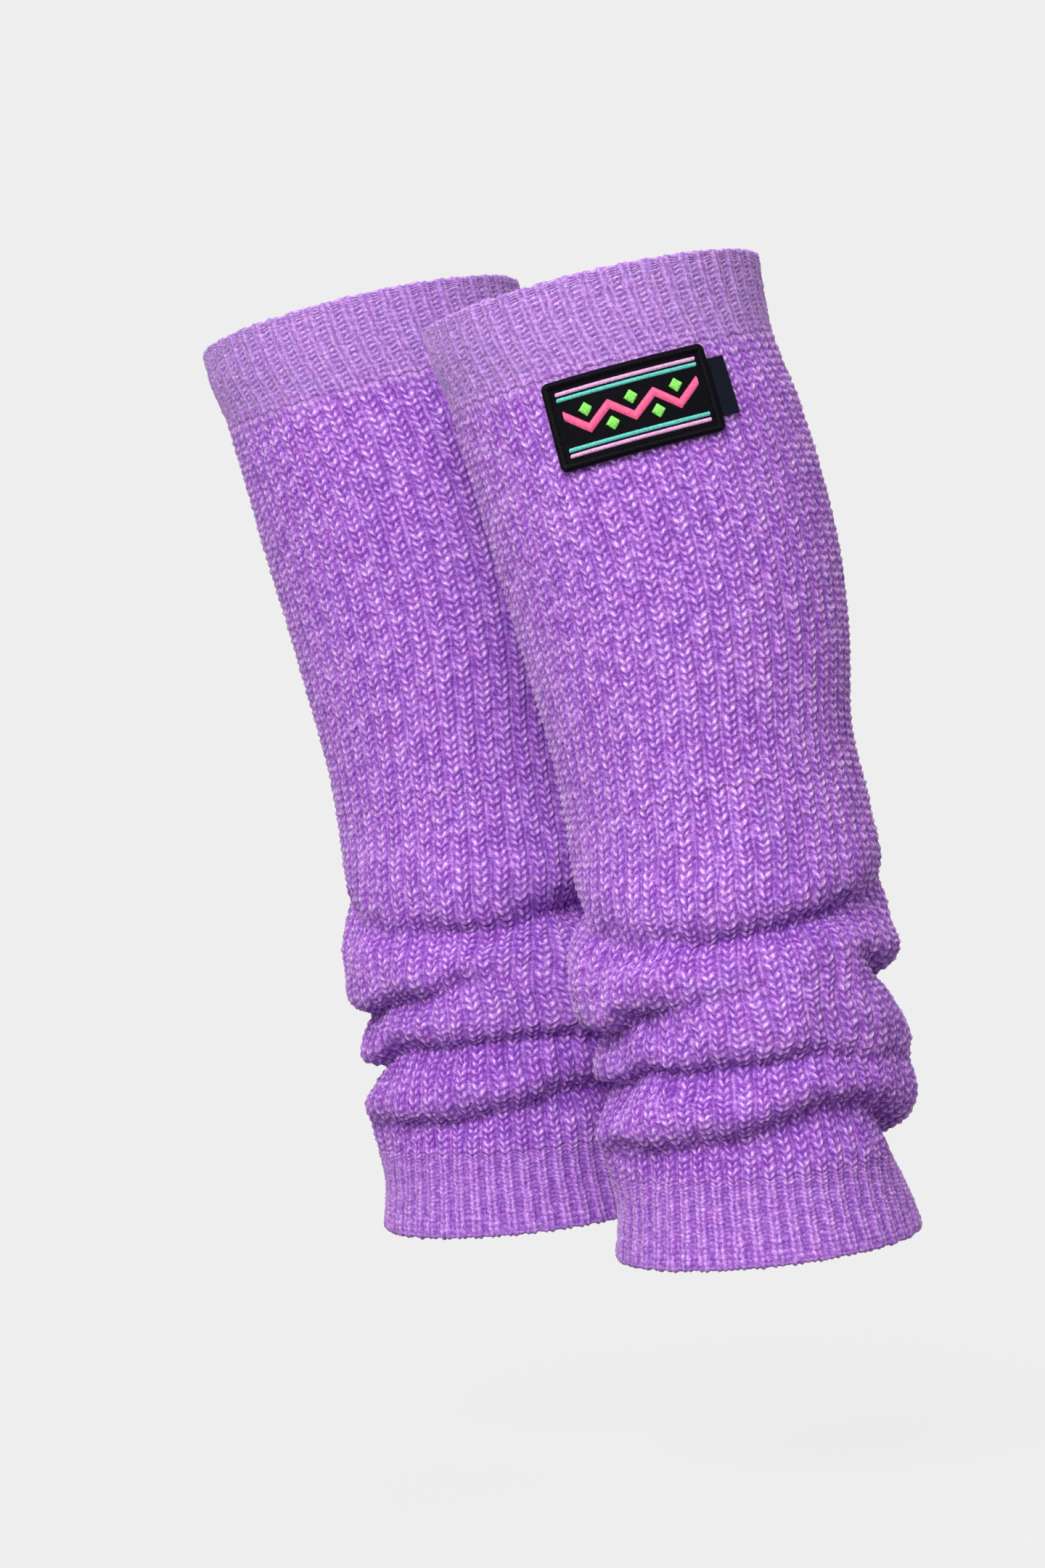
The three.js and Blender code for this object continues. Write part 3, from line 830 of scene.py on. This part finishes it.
def woven_cloth(name, colour, pale, line_width, slant, roughness):
    """A fine woven ground: slanting lines of yarn, a little paler in patches where they stand up."""
    material, tree, surface, place = new_material(
        name, Roughness=roughness, Specular_IOR_Level=0.08
    )
    turned = add_node(tree, "ShaderNodeMapping", {"Vector": place, "Rotation": (0, slant, 0)})
    lines = add_node(
        tree, "ShaderNodeTexWave",
        {"Vector": turned.outputs[0], "Scale": HALF_WAVE / (line_width * MM), "Distortion": 1.5,
         "Detail": 1.0, "Detail Scale": 3.0},
    )
    pale_patches = add_node(
        tree, "ShaderNodeTexNoise", {"Vector": place, "Scale": 1000 / PALE_PATCH, "Detail": 3.0}
    )
    mixed = add_math(tree, "MULTIPLY", lines.outputs["Fac"], pale_patches.outputs["Fac"])
    ramp = add_node(tree, "ShaderNodeValToRGB", {"Fac": mixed})
    ramp.color_ramp.elements[0].color = linear(colour)
    ramp.color_ramp.elements[1].color = linear(pale)
    add_surface(tree, surface, ramp.outputs["Color"], lines.outputs["Fac"], 0.6, WEAVE_BUMP)
    return material


def rayon_thread(name, colour, shadow, gloss=0.35):
    """Rayon embroidery thread, smooth and silky: it gleams along each stitch, dark in its twist."""
    material, tree, surface, place = new_material(name, Roughness=0.45, Specular_IOR_Level=gloss)
    twist = add_node(
        tree, "ShaderNodeTexNoise", {"Vector": place, "Scale": 1000 / TWIST, "Detail": 2.0}
    )
    ramp = add_node(tree, "ShaderNodeValToRGB", {"Fac": twist.outputs[0]})
    for element, (position, shade) in zip(ramp.color_ramp.elements, ((0.3, shadow), (0.6, colour))):
        element.position = position
        element.color = linear(shade)
    add_surface(tree, surface, ramp.outputs["Color"], twist.outputs["Fac"], 0.4, TWIST_BUMP)
    return material


SEWN_THREADS = threads_tree()

# The ground fills the patch to under its overlocking
GROUND_INSET = 1.2
GROUND_STEP = 2
across_list = np.linspace(-1, 1, PATCH_WIDTH // GROUND_STEP) * (PATCH_WIDTH / 2 - GROUND_INSET)
up_list = np.linspace(-1, 1, PATCH_HEIGHT // GROUND_STEP) * (PATCH_HEIGHT / 2 - GROUND_INSET)
across, up = np.meshgrid(across_list, up_list)
corners = (np.abs(across) == across_list[-1]) & (np.abs(up) == up_list[-1])
pull = np.where(corners, GROUND_INSET / 2, 0)
across, up = across - np.sign(across) * pull, up - np.sign(up) * pull
layers = [patch_place(across, up, height).reshape(-1, 3) for height in (PATCH_GROUND, 0)]
rows, columns = across.shape
under = rows * columns
faces = []
for j in range(rows - 1):
    for i in range(columns - 1):
        a, b = j * columns + i, j * columns + i + 1
        faces.append((a, b, b + columns, a + columns))
        faces.append((under + a, under + a + columns, under + b + columns, under + b))
rim = [i for i in range(columns)] + [j * columns + columns - 1 for j in range(1, rows)]
rim += [(rows - 1) * columns + i for i in range(columns - 2, -1, -1)]
rim += [j * columns for j in range(rows - 2, 0, -1)]
for k, a in enumerate(rim):
    b = rim[(k + 1) % len(rim)]
    faces.append((under + a, under + b, b, a))
ground = patch_object("patch_ground", np.concatenate(layers), faces)
TWILL = woven_cloth("black_polyester_twill", "#050408", "#17161e", 0.55, math.radians(40), 0.8)
ground.data.materials.append(TWILL)
ground.data.shade_smooth()

# The overlocking wraps the edge: each thread climbs from the ground, over the edge and under it.
# A point of a stitch has its inset from the edge, its height over the patch's underside, and how
# far it lies ahead along the edge.
OVERLOCK_PITCH = 0.55
OVERLOCK_RADIUS = 0.36
OVERLOCK_STITCH = [
    dict(inset=2.6, out=1.2, ahead=0.5), dict(inset=2.08, out=1.75, ahead=0.4),
    dict(inset=1.3, out=1.9, ahead=0.25), dict(inset=0.6, out=1.65, ahead=0.1),
    dict(inset=0.25, out=1.0, ahead=0), dict(inset=0.6, out=0.35, ahead=-0.1),
]
overlock = [
    [(*rounded_edge(distance + point["ahead"], point["inset"]), point["out"])
     for point in OVERLOCK_STITCH]
    for distance in np.arange(0, EDGE_LENGTH, OVERLOCK_PITCH)
]
black_thread = rayon_thread("black_rayon_thread", "#0a0812", "#030206", 0.1)
overlocking = sewn("patch_overlocking", overlock, OVERLOCK_RADIUS, black_thread, 50)

# The motifs are bands of satin stitch: short threads side by side, over a slight padding
SATIN_PITCH = 0.36
SATIN_RADIUS = 0.23
SATIN_HEIGHT = 0.45
SATIN_REACH = 25
ZIGZAG = dict(half_period=8, rise=3.2, width=3.2, reach=24)
PALE_LINE = dict(up=11.1, width=1.1, slant=0.3)
AQUA_LINE = dict(up=9.0, width=1.1, slant=0.3)
DIAMOND = dict(width=4.6, height=5.0, up=3.6)
HOLLOWS = [dict(side=1, across=(-16, 0, 16)), dict(side=-1, across=(-8, 8))]


def satin(across, up, width, slant=0.0):
    """One thread of satin stitch, upright across its band, with its top end moved by slant."""
    ends = ((-0.5, -0.1), (-0.25, SATIN_HEIGHT), (0.25, SATIN_HEIGHT), (0.5, -0.1))
    return [(across + slant * share, up + width * share, PATCH_GROUND + out) for share, out in ends]


SATIN_PLACES = np.arange(-SATIN_REACH, SATIN_REACH + SATIN_PITCH / 2, SATIN_PITCH)


def zigzag_threads():
    """One zigzag across the middle of the patch."""
    threads = []
    for across in SATIN_PLACES[np.abs(SATIN_PLACES) < ZIGZAG["reach"]]:
        turn = np.abs((across / ZIGZAG["half_period"]) % 2 - 1)
        threads.append(satin(across, ZIGZAG["rise"] * (1 - 2 * turn), ZIGZAG["width"]))
    return threads


def line_threads(line):
    """Two straight lines, one below the zigzag and one above it."""
    return [
        satin(across, side * line["up"], line["width"], line["slant"])
        for side in (-1, 1)
        for across in SATIN_PLACES
    ]


def diamond_threads():
    """One diamond in each hollow of the zigzag."""
    threads = []
    for hollow in HOLLOWS:
        for centre in hollow["across"]:
            for share in np.arange(-0.5, 0.5, SATIN_PITCH / DIAMOND["width"]):
                height = DIAMOND["height"] * (1 - 2 * abs(share))
                place = centre + share * DIAMOND["width"]
                threads.append(satin(place, hollow["side"] * DIAMOND["up"], height))
    return threads


MOTIFS = [
    ("patch_zigzag", zigzag_threads(), ("hot_pink_rayon_thread", "#ff6f9f", "#d84277")),
    ("patch_aqua_lines", line_threads(AQUA_LINE), ("aqua_rayon_thread", "#74ddd2", "#3fae9f")),
    ("patch_pale_lines", line_threads(PALE_LINE), ("pale_pink_rayon_thread", "#f6bde8", "#cf86bd")),
    ("patch_diamonds", diamond_threads(), ("lime_rayon_thread", "#9df571", "#5cc340")),
]
motifs = [
    sewn(name, threads, SATIN_RADIUS, rayon_thread(*thread), 60 + k)
    for k, (name, threads, thread) in enumerate(MOTIFS)
]
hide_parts("patch")
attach(ground, "root")

# Side tab
# A bare ribbon of black woven polyester, folded in two with the fold outwards. Its cut ends are
# caught under the patch's right edge, so that the tab stands out 7 mm over the knit.
TAB_START = PATCH_WIDTH / 2 + 0.3
TAB_REACH = 7.2
TAB_HEIGHT = 21
TAB_BELOW = 0.5  # how far its middle lies below the patch's
TAB_PLY = 0.44
TAB_THICK = 1.0
TAB_ROWS = 15
FOLD_STEPS = 6

bend = TAB_START + TAB_REACH - TAB_THICK / 2
outer_fold = [
    (bend + math.sin(turn) * TAB_THICK / 2, TAB_THICK / 2 - math.cos(turn) * TAB_THICK / 2)
    for turn in np.linspace(0, math.pi, FOLD_STEPS)
]
slit = TAB_THICK / 2 - TAB_PLY
inner_fold = [(bend, TAB_THICK / 2 + slit), (bend + slit, TAB_THICK / 2), (bend, TAB_THICK / 2 - slit)]
flat_run = np.linspace(TAB_START, bend, 4)[:-1]
profile = [(x, 0) for x in flat_run] + outer_fold + [(x, TAB_THICK) for x in flat_run[::-1]]
profile += [(x, TAB_THICK / 2 + slit) for x in flat_run] + inner_fold
profile += [(x, TAB_THICK / 2 - slit) for x in flat_run[::-1]]
levels = TAB_HEIGHT * np.linspace(-0.5, 0.5, TAB_ROWS) - TAB_BELOW
across, out = np.array(profile).T
points = np.concatenate([patch_place(across, up, out) for up in levels])
count = len(profile)
faces = [
    (j * count + i, j * count + (i + 1) % count, (j + 1) * count + (i + 1) % count, (j + 1) * count + i)
    for j in range(TAB_ROWS - 1) for i in range(count)
]
faces += [tuple(range(count))[::-1], tuple((TAB_ROWS - 1) * count + i for i in range(count))]
tab = patch_object("side_tab_ribbon", points, faces)
RIBBON = woven_cloth("black_polyester_ribbon", "#0b0f1a", "#1c2433", 0.4, 0.0, 0.6)
tab.data.materials.append(RIBBON)
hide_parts("side_tab")
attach(tab, "root")


# Floor and light
# A pale studio floor below the pair, which fades into the same pale surround. A wide soft light
# stands over the camera, and weaker ones on each side and behind.
SURROUND = "#eeeeee"
AMBIENT_AHEAD = 0.62  # the surround lights the pair less than the camera sees of it
AMBIENT_BEHIND = 0.35
FLOOR_DOWN = 0.43
FLOOR_RADIUS = 8
FADE = dict(start=0.1, end=0.7, least=0.93)  # from the floor's own paper to the surround
AIM = Vector((0, 0, -0.18))  # the middle of the pair

floor_mesh = bpy.data.meshes.new("floor")
shaper = bmesh.new()
bmesh.ops.create_circle(shaper, cap_ends=True, segments=64, radius=FLOOR_RADIUS)
shaper.to_mesh(floor_mesh)
shaper.free()
floor = add_object("floor", floor_mesh)
floor.location.z = -FLOOR_DOWN


def seen_or_ambient(tree, ambient):
    """Full strength for what the camera sees, and the ambient strength for what lights the pair."""
    seen = add_node(tree, "ShaderNodeLightPath").outputs["Is Camera Ray"]
    inputs = {"Value": seen, "To Min": ambient, "To Max": 1.0}
    return add_node(tree, "ShaderNodeMapRange", inputs).outputs[0]


paper, tree, surface, place = new_material(
    "pale_studio_paper", Base_Color=linear("#f4f4f4"), Roughness=0.9
)
glow = add_node(
    tree, "ShaderNodeEmission",
    {"Color": linear(SURROUND), "Strength": seen_or_ambient(tree, AMBIENT_BEHIND)},
)
reach = add_node(tree, "ShaderNodeVectorMath", {0: place}, operation="LENGTH")
fade = add_node(
    tree, "ShaderNodeMapRange",
    {"Value": reach.outputs["Value"], "From Min": FADE["start"], "From Max": FADE["end"],
     "To Min": FADE["least"], "To Max": 1.0},
    interpolation_type="SMOOTHSTEP",
)
mixed = add_node(
    tree, "ShaderNodeMixShader", {0: fade.outputs[0], 1: surface.outputs[0], 2: glow.outputs[0]}
)
tree.links.new(mixed.outputs[0], tree.nodes["Material Output"].inputs["Surface"])
floor_mesh.materials.append(paper)

world = bpy.data.worlds.new("studio")
world.use_nodes = True
tree = world.node_tree
background = tree.nodes["Background"]
background.inputs["Color"].default_value = linear(SURROUND)
direction = add_node(tree, "ShaderNodeTexCoord").outputs["Generated"]
ahead = add_node(tree, "ShaderNodeSeparateXYZ", {0: direction}).outputs["Y"]
dome = add_node(
    tree, "ShaderNodeMapRange",
    {"Value": ahead, "From Min": -1.0, "From Max": 1.0,
     "To Min": AMBIENT_AHEAD, "To Max": AMBIENT_BEHIND},
)
strength = seen_or_ambient(tree, dome.outputs[0])
tree.links.new(strength, background.inputs["Strength"])
bpy.context.scene.world = world

LIGHTS = {
    "over_camera": dict(at=(-0.75, -2.35, 1.3), size=1.5, power=80),
    "left": dict(at=(-1.9, -1.0, 0.3), size=1.2, power=4),
    "right": dict(at=(1.9, -0.6, 0.5), size=1.2, power=2),
    "behind": dict(at=(0.5, 2.4, 1.2), size=1.5, power=30),
}
for name, lamp in LIGHTS.items():
    light = add_object(name, bpy.data.lights.new(name, "AREA"))
    light.data.size = lamp["size"]
    light.data.energy = lamp["power"]
    light.location = lamp["at"]
    light.rotation_euler = (AIM - light.location).to_track_quat("-Z", "Y").to_euler()
